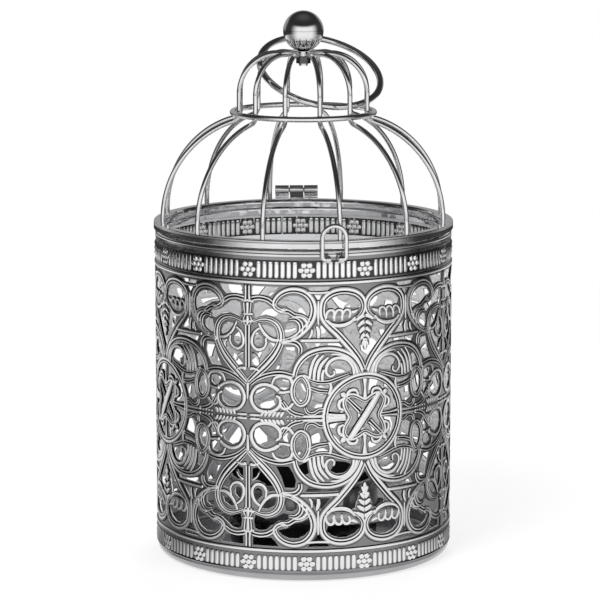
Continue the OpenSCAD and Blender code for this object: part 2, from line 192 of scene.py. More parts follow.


# ---------------------------------------------------------------- sections of a stroke
# Each point has its place across the stroke, from -1 on its right to 1 on its left as it is drawn, its
# height as a share and its ridge value, whose low values are painted dark as shade along the stroke's foot
# and in its grooves
def mirrored(half, middle=()):
    """The whole of a section from its right half and the point in its middle."""
    return half + list(middle) + [(-x, h, ridge) for x, h, ridge in reversed(half)]


SINGLE = mirrored([(-1, 0.05, 0.0), (-0.76, 0.5, 0.0), (-0.6, 0.9, 0.9)], [(0, 1.02, 1)])
DOUBLE = mirrored([(-1, 0.05, 0.0), (-0.8, 0.5, 0.0), (-0.7, 0.85, 0.85), (-0.6, 1, 1),
                   (-0.38, 1, 1), (-0.26, 0.8, 0.5), (-0.16, 0.45, 0.0)])
TRIPLE = mirrored([(-1, 0.05, 0.0), (-0.88, 0.6, 0.0), (-0.8, 0.9, 0.9), (-0.64, 0.95, 1),
                   (-0.52, 0.45, 0.0), (-0.34, 0.45, 0.0), (-0.22, 0.9, 1)], [(0, 1, 1)])
LEAF = mirrored([(-1, 0.05, 0.0), (-0.9, 0.4, 0.0), (-0.84, 0.6, 0.3)], [(0, 0.72, 0.42)])
# a broad ridge, with a thin one on its left
RIMMED = [(-1, 0.05, 0.0), (-0.84, 0.5, 0.0), (-0.76, 0.8, 0.4), (-0.52, 0.9, 0.4), (-0.42, 1, 1),
          (-0.02, 1, 1), (0.08, 0.8, 0.5), (0.16, 0.4, 0.0), (0.36, 0.4, 0.0), (0.44, 0.9, 1),
          (0.72, 0.9, 1), (0.82, 0.5, 0.0), (1, 0.05, 0.0)]
# the back of every stroke, from its left to its right
BACK = [(0.92, 0.0, 0.4), (0.45, 1, 0.9), (0, 0.25, 0.3), (-0.45, 1, 0.9), (-0.92, 0.0, 0.4)]


def ribbon(points, width, section, closed=False):
    """A stroke's vertices, as (across the drawing, up the drawing, radius), faces and ridge values."""
    line = spline(points, closed)
    n = len(line)
    widths = np.atleast_1d(width)
    half = np.interp(np.linspace(0, 1, n), np.linspace(0, 1, len(widths)), widths) / 2
    if closed:
        along = np.roll(line, -1, 0) - np.roll(line, 1, 0)
    else:
        along = np.gradient(line, axis=0)
    along /= np.linalg.norm(along, axis=1)[:, None] + NO_LENGTH
    left = np.stack([-along[:, 1], along[:, 0]], 1)
    rows = [(x * SPREAD, R + h * HEIGHT, ridge) for x, h, ridge in section]
    rows += [(x, R - SHEET - h * BACK_HEIGHT, ridge) for x, h, ridge in BACK]
    m = len(rows)
    verts = np.zeros((n, m, 3))
    ridges = np.zeros((n, m))
    for j, (x, radius, ridge) in enumerate(rows):
        verts[:, j, :2] = line + left * (half * x)[:, None]
        verts[:, j, 2] = radius
        ridges[:, j] = ridge
    grid = np.arange(n * m).reshape(n, m)
    near = grid if closed else grid[:-1]
    far = np.roll(grid, -1, 0) if closed else grid[1:]
    quads = np.stack([near, np.roll(near, -1, 1), np.roll(far, -1, 1), far], -1).reshape(-1, 4)
    faces = [quads]
    if not closed:
        first, last = grid[0], grid[-1]
        ends = [(first[j + 1], first[j], first[0]) for j in range(1, m - 1)]
        ends += [(last[j], last[j + 1], last[0]) for j in range(1, m - 1)]
        faces.append(ends)
    return verts.reshape(-1, 3), faces, ridges.reshape(-1)


def lay(relief, strokes, mirrors):
    """Lays strokes on the drum in every repeat, once for each pair of mirrors (across, up)."""
    for stroke in strokes:
        flat, faces, ridges = ribbon(*stroke)
        for k in range(REPEATS):
            flower_az = TURN - 180 / REPEATS + 360 / REPEATS * k
            for across, up in mirrors:
                az = np.radians(flower_az + across * flat[:, 0] * DEG)
                verts = on_drum(flat[:, 2], az, MID_Z + up * flat[:, 1])
                relief.add(verts, faces, ridges, flip=across * up < 0)


# ---------------------------------------------------------------- the drawing of the wall
# A stroke has its points, its width or widths along it, its section, and True where it is closed. Points
# are given across from the flower's axis and up from the middle of the wall.
FLOWER_LOBE = [
    # arch beside the stem
    ([[1.0, 31.2], [3.2, 31.6], [5.4, 31.2], [6.9, 30.2]], 1.5, DOUBLE),
    # outer lobe, with its hook
    ([[8.8, 20.1], [11.8, 20.9], [14.6, 22.8], [16.8, 25.6], [17.6, 28.5], [17.0, 31.2], [15.1, 33.2],
      [12.3, 33.9], [9.6, 33.2], [7.7, 31.5], [7.2, 29.8], [8.2, 28.6], [9.8, 28.5], [10.5, 29.2]],
     [1.5, 1.8, 2.1, 2.1, 2.0, 1.9, 1.7, 1.4, 1.0], RIMMED),
    # strokes inside the lobe
    ([[6.5, 30.6], [7.6, 29.3], [9.2, 28.3], [11.0, 28.2], [12.4, 27.3], [14.2, 27.0], [15.8, 26.1],
      [16.4, 25.0]],
     [1.0, 1.4, 1.4, 1.2, 0.9], DOUBLE),
    ([[10.8, 26.0], [12.6, 26.3], [14.0, 25.2], [14.2, 23.4], [13.2, 21.7], [11.6, 20.6]],
     [0.8, 1.4, 1.5, 1.3, 1.0], DOUBLE),
    ([[12.6, 27.0], [14.6, 26.6], [15.7, 25.2], [15.5, 23.6]], [0.7, 1.0, 0.6], SINGLE),
]
FLOWER_HEART = [
    # outline
    ([[0.0, 9.0], [2.6, 11.6], [5.2, 14.2], [7.3, 16.8], [8.7, 19.6], [9.0, 22.2], [8.1, 24.6],
      [6.2, 25.9], [3.8, 26.0], [1.2, 25.0]],
     [1.4, 1.9, 2.4, 2.4, 2.1, 1.9, 1.8, 1.6, 1.3, 1.0], TRIPLE),
    # strokes inside it and under it
    ([[3.0, 25.2], [3.8, 23.4], [5.0, 21.8], [6.8, 20.7], [8.6, 20.7]], [0.7, 1.1, 1.2, 0.9], SINGLE),
    ([[3.4, 23.7], [2.0, 22.6], [1.2, 20.8], [1.4, 18.9], [2.7, 17.9], [4.3, 18.3], [5.1, 19.8],
      [4.8, 21.5]],
     [0.8, 1.1, 1.1, 0.7], SINGLE),
    ([[0.6, 8.4], [3.0, 10.3], [6.0, 11.5], [9.2, 11.9], [12.2, 11.2]], [1.0, 1.4, 1.5, 1.3], DOUBLE),
    ([[0.4, 12.6], [1.8, 12.9], [3.4, 12.2]], [1.3, 0.9, 0.5], SINGLE),
    ([[1.2, 17.0], [2.6, 16.0], [3.2, 14.6]], [0.7, 0.5, 0.3], SINGLE),
]
CURL_AND_TIES = [
    # curl between the flower and the scroll
    ([[9.2, 20.0], [11.2, 20.2], [13.0, 19.9], [14.0, 18.6], [13.9, 17.2]], [1.2, 1.5, 1.6, 1.2], DOUBLE),
    # ties between the flower's lobe and the heart over the medallion
    ([[14.0, 20.6], [18.6, 20.6], [24.3, 20.5]], [1.0, 1.1, 0.9], SINGLE),
    ([[18.2, 24.6], [18.75, 22.8], [18.6, 21.2]], [0.6, 1.3, 0.9], SINGLE),
    ([[17.0, 23.9], [16.9, 22.3], [16.2, 21.2]], [0.5, 0.9, 0.6], SINGLE),
    ([[18.65, 24.6], [18.6, 28.0], [18.65, 31.2]], [0.5, 0.8, 0.5], SINGLE),
    ([[15.6, 33.3], [18.7, 33.1], [21.8, 33.3]], 0.8, SINGLE),
]
ACANTHUS_SCROLL = [
    # outline, a line along it and the curl inside it
    ([[30.3, 11.6], [29.3, 14.0], [27.4, 16.2], [24.8, 17.6], [21.8, 18.2], [18.8, 18.0], [16.2, 17.1],
      [14.2, 15.4], [12.9, 13.2], [12.4, 11.0]],
     [1.3, 1.5, 1.7, 1.8, 1.8, 1.8, 1.9, 1.9, 1.7, 1.4], RIMMED),
    ([[29.2, 11.3], [28.5, 13.6], [26.8, 15.6], [24.4, 16.7], [21.9, 16.9]],
     [1.1, 1.1, 1.0, 0.9, 0.6], SINGLE),
    ([[28.2, 11.2], [27.9, 13.2], [26.4, 15.2], [24.2, 15.9], [22.2, 15.4], [20.9, 13.9], [20.7, 12.1],
      [21.7, 11.0], [22.9, 11.6], [22.6, 12.8]],
     [1.0, 1.1, 1.2, 1.2, 1.1, 1.1, 1.0, 0.9, 0.8, 0.6], SINGLE),
    # fingers of the leaf
    ([[16.4, 10.4], [16.7, 12.9], [17.4, 15.2], [18.8, 17.2]], [0.7, 1.0, 1.0, 0.6], SINGLE),
    ([[17.5, 10.0], [17.7, 12.6], [18.5, 14.9], [20.2, 16.9]], [0.8, 1.1, 1.1, 0.6], SINGLE),
    ([[18.6, 9.8], [18.8, 12.2], [19.5, 14.2], [21.4, 16.3]], [0.8, 1.1, 1.1, 0.6], SINGLE),
    ([[19.7, 9.8], [19.7, 11.6], [20.2, 13.2]], [0.8, 1.0, 0.8], SINGLE),
    # foot of the leaf
    ([[15.6, 10.6], [18.4, 9.6], [21.4, 9.6], [24.0, 10.4], [27.0, 11.4]],
     [0.8, 1.2, 1.3, 1.2, 0.8], DOUBLE),
    ([[14.6, 11.6], [15.6, 11.2], [16.4, 10.4]], 0.8, SINGLE),
]
MIDDLE_OF_WALL = [
    # oval
    ([[14.4, 11.2], [12.6, 9.8], [11.9, 7.4], [12.4, 5.0], [14.0, 3.5], [15.7, 4.5], [16.3, 7.0],
      [15.9, 9.3]],
     [1.3, 1.4, 1.5, 1.4, 1.4, 1.4, 1.4, 1.3, 1.3], RIMMED, True),
    # C-scroll
    ([[8.4, 7.2], [6.9, 8.3], [4.6, 8.8], [2.4, 8.0], [1.1, 6.1], [1.1, 3.9], [2.5, 2.1], [4.8, 1.5],
      [7.2, 1.9], [8.7, 3.5], [8.6, 5.4], [7.4, 6.0]],
     [1.3, 1.2, 1.1, 1.2, 1.3, 1.3, 1.2, 1.2, 1.2, 1.2, 1.0, 0.8], SINGLE),
    # ties between the two
    ([[6.6, 8.8], [7.2, 10.4], [9.2, 11.2], [11.4, 10.6], [12.0, 8.8]], [0.8, 1.0, 1.1, 0.9], SINGLE),
    ([[8.2, 7.0], [9.6, 6.8], [11.3, 7.2]], [1.2, 0.9, 1.0], SINGLE),
    ([[9.0, 5.2], [8.8, 3.4], [9.6, 2.5], [11.0, 2.7], [12.2, 4.2]], [0.7, 0.9, 1.0, 0.9], SINGLE),
    # strokes from the C-scroll to the medallion
    ([[9.3, 4.6], [10.9, 2.3], [12.6, 1.2], [14.9, 0.7]], [0.9, 1.3, 1.4, 1.2], DOUBLE),
    ([[15.3, 3.2], [15.6, 1.9], [16.6, 1.25], [17.8, 1.45], [18.9, 2.2], [20.6, 2.2]],
     [0.8, 1.1, 1.2, 1.2, 1.2, 1.1], DOUBLE),
    # lines along the middle, beside the medallion and beside the flower's axis
    ([[14.6, 0.55], [17.4, 0.5], [20.4, 0.6]], [0.9, 1.0, 1.0], SINGLE),
    ([[0.2, 0.55], [1.8, 0.5], [3.4, 0.5]], [0.6, 1.0, 0.6], SINGLE),
    # stroke from the oval to the medallion, and one across its end
    ([[15.9, 8.4], [18.6, 7.3], [21.2, 7.0]], [0.9, 1.3, 1.1], DOUBLE),
    ([[21.6, 9.6], [22.0, 8.2], [21.4, 6.2]], [0.8, 1.0, 0.8], SINGLE),
]
HEART_OVER_MEDALLION = [
    # outline
    ([[28.0, 25.6], [29.9, 26.8], [31.0, 28.8], [30.5, 31.2], [28.5, 32.9], [25.3, 33.6], [22.1, 33.0],
      [20.0, 31.1], [19.5, 28.5], [19.9, 26.2], [21.4, 24.2], [23.4, 22.3], [25.4, 20.1], [27.4, 17.8],
      [29.4, 15.2], [30.9, 12.2]],
     [1.1, 1.4, 1.8, 2.0, 2.0, 2.0, 2.0, 1.9, 1.9, 2.0, 2.1, 2.2, 2.2, 2.1, 1.9, 1.6], RIMMED),
    # rim along the foot of its scalloped leaf, the leaf and the leaf's tip
    ([[20.6, 26.2], [21.7, 25.0], [23.6, 24.4], [25.6, 24.5], [27.4, 25.3], [28.6, 26.6]],
     [0.8, 1.1, 1.3, 1.3, 1.1, 0.7], SINGLE),
    ([[20.4, 27.2], [23.4, 26.6], [26.6, 26.9], [29.2, 28.1]], [2.0, 3.0, 2.6, 1.0], LEAF),
    ([[27.4, 27.8], [28.2, 27.9], [29.3, 28.4]], [0.9, 1.1, 0.6], SINGLE),
]


def leaf_lobes():
    """Lobes of the scalloped leaf, each curled round a small eye."""
    strokes = []
    for eye in (21.9, 24.1, 26.2):
        points = [[eye - 1.3, 25.6], [eye - 1.2, 27.3], [eye - 0.4, 28.5],
                  [eye + 0.7, 28.3], [eye + 0.9, 27.2], [eye + 0.5, 26.3]]
        strokes.append((points, [0.7, 0.8, 0.95, 0.95, 0.8, 0.6], SINGLE))
    return strokes


def serrated_leaf():
    """Teeth and then beads along the middle of the wall."""
    strokes = []
    for tooth in range(6):
        x = 3.6 + 1.05 * tooth
        strokes.append(([[x, 0.3], [x + 0.35, 1.0], [x + 0.9, 1.75]], [0.8, 1.2, 0.7], SINGLE))
    for bead in range(5):
        x = 10.6 + 1.0 * bead
        strokes.append(([[x, 0.3], [x + 0.3, 0.75]], [0.6, 0.7], SINGLE))
    return strokes


def palmette():
    """Chevrons that get narrower towards the medallion."""
    strokes = []
    for row in range(5):
        apex = 26.9 - 1.7 * row
        wide = 2.5 - 0.42 * row
        points = [[S, apex], [S - wide * 0.55, apex - 0.55], [S - wide, apex - 1.35]]
        strokes.append((points, [1.5, 1.35, 0.8], SINGLE))
    return strokes


STROKES = FLOWER_LOBE + FLOWER_HEART + CURL_AND_TIES + ACANTHUS_SCROLL + MIDDLE_OF_WALL
STROKES += HEART_OVER_MEDALLION + leaf_lobes() + serrated_leaf() + palmette()

# Strokes on the flower's axis, in the top and bottom halves: its stem, three bands across it and its foot
FLOWER_STEM = [
    ([[0, 13.0], [0, 18.4], [0, 24.6]], [1.5, 1.5, 1.8], DOUBLE),
    ([[0, 24.2], [0, 25.6], [0, 27.0]], [1.6, 3.0, 1.4], TRIPLE),
    ([[0, 26.8], [0, 28.6], [0, 30.4]], [1.5, 2.2, 2.6], TRIPLE),
    ([[0, 30.6], [0, 32.4], [0, 34.9]], [2.2, 1.6, 1.8], DOUBLE),
    ([[-1.7, 25.5], [0, 25.2], [1.7, 25.5]], 0.9, SINGLE),
    ([[-1.5, 27.3], [0, 27.1], [1.5, 27.3]], 0.8, SINGLE),
    ([[-1.7, 30.5], [0, 30.8], [1.7, 30.5]], 0.9, SINGLE),
    ([[0, 9.2], [0, 7.2], [0, 4.6]], [1.2, 0.9, 0.5], SINGLE),
]
# Strokes on the medallion's axis, in the top and bottom halves: the palmette's tip and the lattice's stem
MEDALLION_STEMS = [
    ([[S, 17.6], [S, 19.4], [S, 21.0]], [0.5, 1.5, 1.9], SINGLE),
    ([[S, 4.6], [S, 7.6], [S, 10.2]], [1.5, 0.8, 1.9], SINGLE),
]
MEDALLION_RADIUS = 10.95  # of its ring
LATTICE_RADIUS = 5.9      # between its corners and its dents
LATTICE_DENT = 1.6


def round_medallion(radius, corners, dent=0.0):
    """Points round the medallion's middle, drawn in by dent at its four stems and out between them."""
    a = np.arange(corners) / corners * 2 * math.pi
    r = radius - dent * np.cos(4 * a)
    return np.stack([S + r * np.cos(a), r * np.sin(a)], 1)


def from_medallion(radius, angle):
    """A point at this distance from the medallion's middle."""
    return [S + radius * math.cos(angle), radius * math.sin(angle)]


def medallion():
    """Ring, lattice, diagonals and side stems, then a ball and two hooks at each corner of the lattice."""
    strokes = [
        (round_medallion(MEDALLION_RADIUS, corners=28), 1.9, RIMMED, True),
        (round_medallion(LATTICE_RADIUS, corners=48, dent=LATTICE_DENT), 1.4, RIMMED, True),
        ([[S - 4.3, -5.9], [S - 2.3, -3.2], [S, 0], [S + 2.3, 3.2], [S + 4.4, 6.2]],
         [1.5, 2.2, 2.2, 2.3, 1.5], SINGLE),
        ([[S - 5.2, 5.2], [S - 3.2, 3.2], [S - 1.3, 1.3]], [1.1, 1.3, 1.6], DOUBLE),
        ([[S + 1.3, -1.3], [S + 3.2, -3.2], [S + 5.2, -5.2]], [1.6, 1.3, 1.1], DOUBLE),
        ([[S - 10.2, 0], [S - 8.0, 0], [S - 5.2, 0]], [3.2, 2.4, 2.2], SINGLE),
        ([[S + 4.6, 0], [S + 8.0, 0], [S + 10.4, 0]], [1.3, 1.3, 2.5], DOUBLE),
    ]
    for quarter in range(4):
        corner = math.radians(45 + 90 * quarter)
        ball = [from_medallion(radius, corner) for radius in (7.6, 8.5, 9.3)]
        strokes.append((ball, [1.0, 1.8, 0.9], SINGLE))
        for side in (-1, 1):
            foot = corner + side * math.radians(26)
            crook = corner + side * math.radians(14)
            hook = [from_medallion(LATTICE_RADIUS, foot), from_medallion(7.4, foot),
                    from_medallion(8.2, crook), from_medallion(7.5, corner)]
            strokes.append((hook, [0.7, 1.1, 1.1, 0.8], SINGLE))
    return strokes


ALL_QUARTERS = ((1, 1), (1, -1), (-1, 1), (-1, -1))
TOP_AND_BOTTOM = ((1, 1), (1, -1))
ONCE = ((1, 1),)


def filigree_relief(material):
    """The embossed ridges along the openings of the wall."""
    relief = Relief()
    lay(relief, STROKES, ALL_QUARTERS)
    lay(relief, FLOWER_STEM, TOP_AND_BOTTOM)
    lay(relief, MEDALLION_STEMS, TOP_AND_BOTTOM)
    lay(relief, medallion(), ONCE)
    relief.build("filigree_relief", "body", material)


# ---------------------------------------------------------------- hoops, bars and rosettes
def all_round(relief, rows, flip=False):
    """A surface all round the drum, through rows of (radius, height, ridge value)."""
    az = np.radians(np.arange(0, 360, HOOP_STEP))
    n = len(az)
    i = np.arange(n)
    j = (i + 1) % n
    verts = [on_drum(radius, az, z) for radius, z, ridge in rows]
    quads = [np.stack([i, j, j + n, i + n], 1) + k * n for k in range(len(rows) - 1)]
    ridges = np.repeat([ridge for radius, z, ridge in rows], n)
    relief.add(np.concatenate(verts), quads, ridges, flip)


def hoop(relief, z):
    """A raised line all round the wall."""
    all_round(relief, [(R + h * HOOP_RISE, z + x * HOOP_WIDTH / 2, ridge) for x, h, ridge in SINGLE])


def shade_strip(relief, bottom, top, shade, inside):
    """A dark strip all round, behind the bars and rosettes of a band: painted shade on the band's floor.
    """
    radius = off_wall(STRIP_BACK if inside else STRIP_RISE, inside)
    rows = [(radius, bottom - STRIP_MARGIN, shade), (radius, top + STRIP_MARGIN, shade)]
    all_round(relief, rows, flip=inside)


def bar(relief, az, z, tall, inside):
    """A rounded upright bar on the drum, with its middle at this azimuth in degrees and this height."""
    across = np.sin(np.linspace(-1, 1, BAR_COLUMNS) * math.pi / 2)
    up = np.sin(np.linspace(-1, 1, BAR_LEVELS) * math.pi / 2)
    x, y = np.meshgrid(across, up)
    fall = np.sqrt(np.clip(1 - np.abs(x) ** BAR_SIDES, 0, 1) * np.clip(1 - np.abs(y) ** BAR_ENDS, 0, 1))
    radius = off_wall(BAR_RISE * fall - SINK, inside)
    verts = on_drum(radius, np.radians(az) + x * BAR_WIDTH / 2 / R, z + y * tall / 2)
    grid = np.arange(BAR_COLUMNS * BAR_LEVELS).reshape(BAR_LEVELS, BAR_COLUMNS)
    quads = np.stack([grid[:-1, :-1], grid[:-1, 1:], grid[1:, 1:], grid[1:, :-1]], -1)
    ridges = np.clip(BAR_SHARP * fall - BAR_FOOT, 0, 1)
    relief.add(verts.reshape(-1, 3), [quads.reshape(-1, 4)], ridges.reshape(-1), flip=inside)


def dot(relief, az, z, inside):
    """A half ball on the drum, with its middle at this azimuth in degrees and this height."""
    turns = np.arange(DOT_SIDES) / DOT_SIDES * 2 * math.pi
    climbs = np.arange(DOT_LEVELS) / DOT_LEVELS * math.pi / 2
    turn, climb = np.meshgrid(turns, climbs)
    out = DOT_RADIUS * np.cos(climb)
    radius = off_wall(DOT_RISE * np.sin(climb) - SINK, inside)
    verts = on_drum(radius, np.radians(az) + out * np.cos(turn) / R, z + out * np.sin(turn)).reshape(-1, 3)
    top = on_drum(off_wall(DOT_RISE, inside), np.radians(az), z)
    ridges = np.minimum(1, DOT_SHARP * np.sin(climb)).reshape(-1)
    grid = np.arange(len(verts)).reshape(DOT_LEVELS, DOT_SIDES)
    after = np.roll(grid, -1, 1)
    quads = np.stack([grid[:-1], after[:-1], after[1:], grid[1:]], -1).reshape(-1, 4)
    cap = np.stack([grid[-1], after[-1], np.full(DOT_SIDES, len(verts))], -1)
    relief.add(np.vstack([verts, top]), [quads, cap], np.append(ridges, 1), flip=inside)


def rosette(relief, az, z, inside):
    """A dot in the middle and six round it."""
    dot(relief, az, z, inside)
    for petal in range(PETALS):
        a = 2 * math.pi * petal / PETALS
        aside = math.degrees(PETAL_PLACE * math.cos(a) / R)
        dot(relief, az + aside, z + PETAL_PLACE * math.sin(a), inside)


def band(relief, bottom, top, shade, inside):
    """Rosettes all round, with a row of bars after each."""
    shade_strip(relief, bottom, top, shade, inside)
    middle = (bottom + top) / 2
    for k in range(ROSETTES):
        az = TURN + 360 / ROSETTES * k
        rosette(relief, az, middle, inside)
        for i in range(BARS):
            along = (i - (BARS - 1) / 2) * BAR_SPACING
            bar(relief, az + 180 / ROSETTES + math.degrees(along / R), middle, top - bottom, inside)


def band_relief(material):
    """The raised lines and both bands, the upper one also on the inside."""
    relief = Relief()
    for z in HOOPS:
        hoop(relief, z)
    for bottom, top, shade, both_sides in BANDS:
        band(relief, bottom, top, shade, inside=False)
        if both_sides:
            band(relief, bottom, top, shade, inside=True)
    relief.build("band_relief", "body", material)


# ---------------------------------------------------------------- nodes of the materials
GROOVE_SHADE = (0.008, 0.008, 0.009)    # painted shade: the colour in the grooves
GROOVE_SHADE_EDGE = (0.1, 0.8)  # ridge values where the painted shade ends and the metal's colour begins
PAINTED_INNER_FACE = (0.8, 0.8, 0.805)    # pale colour painted on the wall's inner face, a painted reflection
INNER_METALLIC = 0.15     # and how much of a metal it is
CLOUD_SCALE = 140.0
CLOUD_RANGE = (0.3, 0.7)  # noise that clouds the metal most, and not at all
POLISH = (0.7, 1.5)       # least and most roughness, as shares of a finish's own
WAVE_DEPTH = 0.0002       # in metres


def new_material(name):
    """A material with its nodes, its links and its main shader."""
    mat = bpy.data.materials.new(name)
    mat.use_nodes = True
    tree = mat.node_tree
    return mat, tree.nodes, tree.links, tree.nodes["Principled BSDF"]


def math_node(nodes, operation, clamp=False):
    """A node that works out one number from two."""
    node = nodes.new("ShaderNodeMath")
    node.operation = operation
    node.use_clamp = clamp
    return node


def colour_mix(nodes, how="MIX"):
    """A node that mixes the colours A and B."""
    node = nodes.new("ShaderNodeMix")
    node.data_type = "RGBA"
    node.blend_type = how
    return node


def map_range(nodes, links, value, start, end, smooth=False):
    """Carries a value from the range start to the range end."""
    node = nodes.new("ShaderNodeMapRange")
    if smooth:
        node.interpolation_type = "SMOOTHSTEP"
    node.inputs["From Min"].default_value = start[0]
    node.inputs["From Max"].default_value = start[1]
    node.inputs["To Min"].default_value = end[0]
    node.inputs["To Max"].default_value = end[1]
    links.new(value, node.inputs["Value"])
    return node.outputs["Result"]


def noise(nodes, links, scale, detail):
    """Noise in the object's own coordinates."""
    place = nodes.new("ShaderNodeTexCoord")
    node = nodes.new("ShaderNodeTexNoise")
    node.inputs["Scale"].default_value = scale
    node.inputs["Detail"].default_value = detail
    links.new(place.outputs["Object"], node.inputs["Vector"])
    return node.outputs["Fac"]


def waviness(nodes, links, height, strength, shader):
    """Makes a shader's surface uneven."""
    node = nodes.new("ShaderNodeBump")
    node.inputs["Strength"].default_value = strength
    node.inputs["Distance"].default_value = WAVE_DEPTH
    links.new(height, node.inputs["Height"])
    links.new(node.outputs["Normal"], shader.inputs["Normal"])


def mix_shaders(nodes, links, factor, first, second, surface):
    """The first shader where factor is 0 and the second where it is 1."""
    node = nodes.new("ShaderNodeMixShader")
    links.new(factor, node.inputs["Fac"])
    links.new(first.outputs[0], node.inputs[1])
    links.new(second.outputs[0], node.inputs[2])
    links.new(node.outputs[0], surface)


def nearer_than(nodes, links, radius):
    """1 on faces nearer to the object's axis than radius, in metres, and 0 on the others."""
    place = nodes.new("ShaderNodeTexCoord")
    flat = nodes.new("ShaderNodeVectorMath")
    flat.operation = "MULTIPLY"
    flat.inputs[1].default_value = (1, 1, 0)
    links.new(place.outputs["Object"], flat.inputs[0])
    distance = nodes.new("ShaderNodeVectorMath")
    distance.operation = "LENGTH"
    links.new(flat.outputs["Vector"], distance.inputs[0])
    mask = math_node(nodes, "LESS_THAN")
    mask.inputs[1].default_value = radius
    links.new(distance.outputs["Value"], mask.inputs[0])
    return mask.outputs[0]


def plain_rays(nodes, links):
    """1 for rays from the camera, in reflections and through glass, 0 for rays that light the object."""
    path = nodes.new("ShaderNodeLightPath")
    two = math_node(nodes, "ADD", clamp=True)
    links.new(path.outputs["Is Camera Ray"], two.inputs[0])
    links.new(path.outputs["Is Glossy Ray"], two.inputs[1])
    three = math_node(nodes, "ADD", clamp=True)
    links.new(two.outputs[0], three.inputs[0])
    links.new(path.outputs["Is Transmission Ray"], three.inputs[1])
    return three.outputs[0]


# ---------------------------------------------------------------- finishes
def painted_groove_shade(nodes, links, bright):
    """Bright on the mesh's ridges and nearly black in its grooves, as painted shade."""
    level = nodes.new("ShaderNodeAttribute")
    level.attribute_name = "ridge"
    share = map_range(nodes, links, level.outputs["Fac"], GROOVE_SHADE_EDGE, (0.0, 1.0), smooth=True)
    colour = colour_mix(nodes)
    colour.inputs["A"].default_value = (*GROOVE_SHADE, 1)
    colour.inputs["B"].default_value = (*bright, 1)
    links.new(share, colour.inputs["Factor"])
    return colour.outputs["Result"]


def painted_pale_inside(nodes, links, shader, colour, radius):
    """Makes faces inside the radius dull and pale, as they look through the openings: a painted
    reflection.
    """
    mask = nearer_than(nodes, links, radius)
    metallic = map_range(nodes, links, mask, (0.0, 1.0), (1.0, INNER_METALLIC))
    links.new(metallic, shader.inputs["Metallic"])
    pale = colour_mix(nodes)
    pale.inputs["B"].default_value = (*PAINTED_INNER_FACE, 1)
    links.new(colour, pale.inputs["A"])
    links.new(mask, pale.inputs["Factor"])
    return pale.outputs["Result"]


def chrome(name, bright, rough, wave, scale=900.0, grime=0.12, ridge=False, inner=0.0):
    """Plated metal, finely wavy and faintly clouded. ridge paints shade into the grooves of the mesh, and
    inner is a radius in millimetres inside which the metal is dull and pale, a painted reflection."""
    mat, nodes, links, shader = new_material(name)
    shader.inputs["Metallic"].default_value = 1.0
    cloud = noise(nodes, links, CLOUD_SCALE, detail=4.0)
    tone = colour_mix(nodes, "MULTIPLY")
    tone.inputs["Factor"].default_value = 1.0
    tone.inputs["A"].default_value = (*bright, 1)
    links.new(map_range(nodes, links, cloud, CLOUD_RANGE, (1.0 - grime, 1.0)), tone.inputs["B"])
    # painted shade: the grooves of the mesh are darkened towards black
    if ridge:
        links.new(painted_groove_shade(nodes, links, bright), tone.inputs["A"])
    colour = tone.outputs["Result"]
    # painted reflection: faces inside the radius are made pale and dull
    if inner:
        colour = painted_pale_inside(nodes, links, shader, colour, inner * MM)
    links.new(colour, shader.inputs["Base Color"])
    roughness = map_range(nodes, links, cloud, (0.0, 1.0), (rough * POLISH[0], rough * POLISH[1]))
    links.new(roughness, shader.inputs["Roughness"])
    waviness(nodes, links, noise(nodes, links, scale, detail=3.0), wave, shader)
    return mat


RELIEF_SPLIT = 39.65      # radii between outer and inner faces, in millimetres
SHEET_SPLIT = 39.7
CUP_SPLIT = 19.62
CUP_FLOOR = 1.1           # height between the faces under and over the cup's floor

# relief_chrome and band_chrome paint shade into the grooves of their meshes
relief_chrome = chrome("relief_chrome", (0.93, 0.93, 0.935), 0.07, wave=0.4, scale=700, grime=0.04,
                       ridge=True, inner=RELIEF_SPLIT)
sheet_chrome = chrome("sheet_chrome", (0.29, 0.29, 0.3), 0.12, wave=0.3, scale=400, inner=SHEET_SPLIT)
band_chrome = chrome("band_chrome", (0.97, 0.97, 0.975), 0.07, wave=0.25, scale=700, grime=0.04,
                     ridge=True)
wire_chrome = chrome("wire_chrome", (0.88, 0.88, 0.89), 0.05, wave=0.12, scale=300)
pressed_chrome = chrome("pressed_chrome", (0.8, 0.8, 0.81), 0.06, wave=0.3, scale=160)
ball_chrome = chrome("ball_chrome", (0.88, 0.88, 0.89), 0.05, wave=0.05, scale=250)
base_chrome = chrome("base_chrome", (0.44, 0.44, 0.45), 0.16, wave=0.05, scale=300)
plain_steel = chrome("plain_steel", (0.13, 0.13, 0.135), 0.28, wave=0.3)


def cup_finish():
    """Grey chrome outside, nearly black inside."""
    mat = chrome("cup_finish", (0.24, 0.24, 0.25), 0.14, wave=0.05, scale=300)
    nodes = mat.node_tree.nodes
    links = mat.node_tree.links
    black_inside = nodes.new("ShaderNodeBsdfPrincipled")
    black_inside.inputs["Base Color"].default_value = (0.012, 0.012, 0.013, 1)
    black_inside.inputs["Roughness"].default_value = 0.32
    waviness(nodes, links, noise(nodes, links, 1500.0, detail=2.0), strength=0.15, shader=black_inside)
    place = nodes.new("ShaderNodeTexCoord")
    split = nodes.new("ShaderNodeSeparateXYZ")
    links.new(place.outputs["Object"], split.inputs["Vector"])
    above = math_node(nodes, "GREATER_THAN")
    above.inputs[1].default_value = CUP_FLOOR * MM
    links.new(split.outputs["Z"], above.inputs[0])
    inside = math_node(nodes, "MULTIPLY")
    links.new(nearer_than(nodes, links, CUP_SPLIT * MM), inside.inputs[0])
    links.new(above.outputs[0], inside.inputs[1])
    surface = nodes["Material Output"].inputs["Surface"]
    mix_shaders(nodes, links, inside.outputs[0], nodes["Principled BSDF"], black_inside, surface)
    return mat


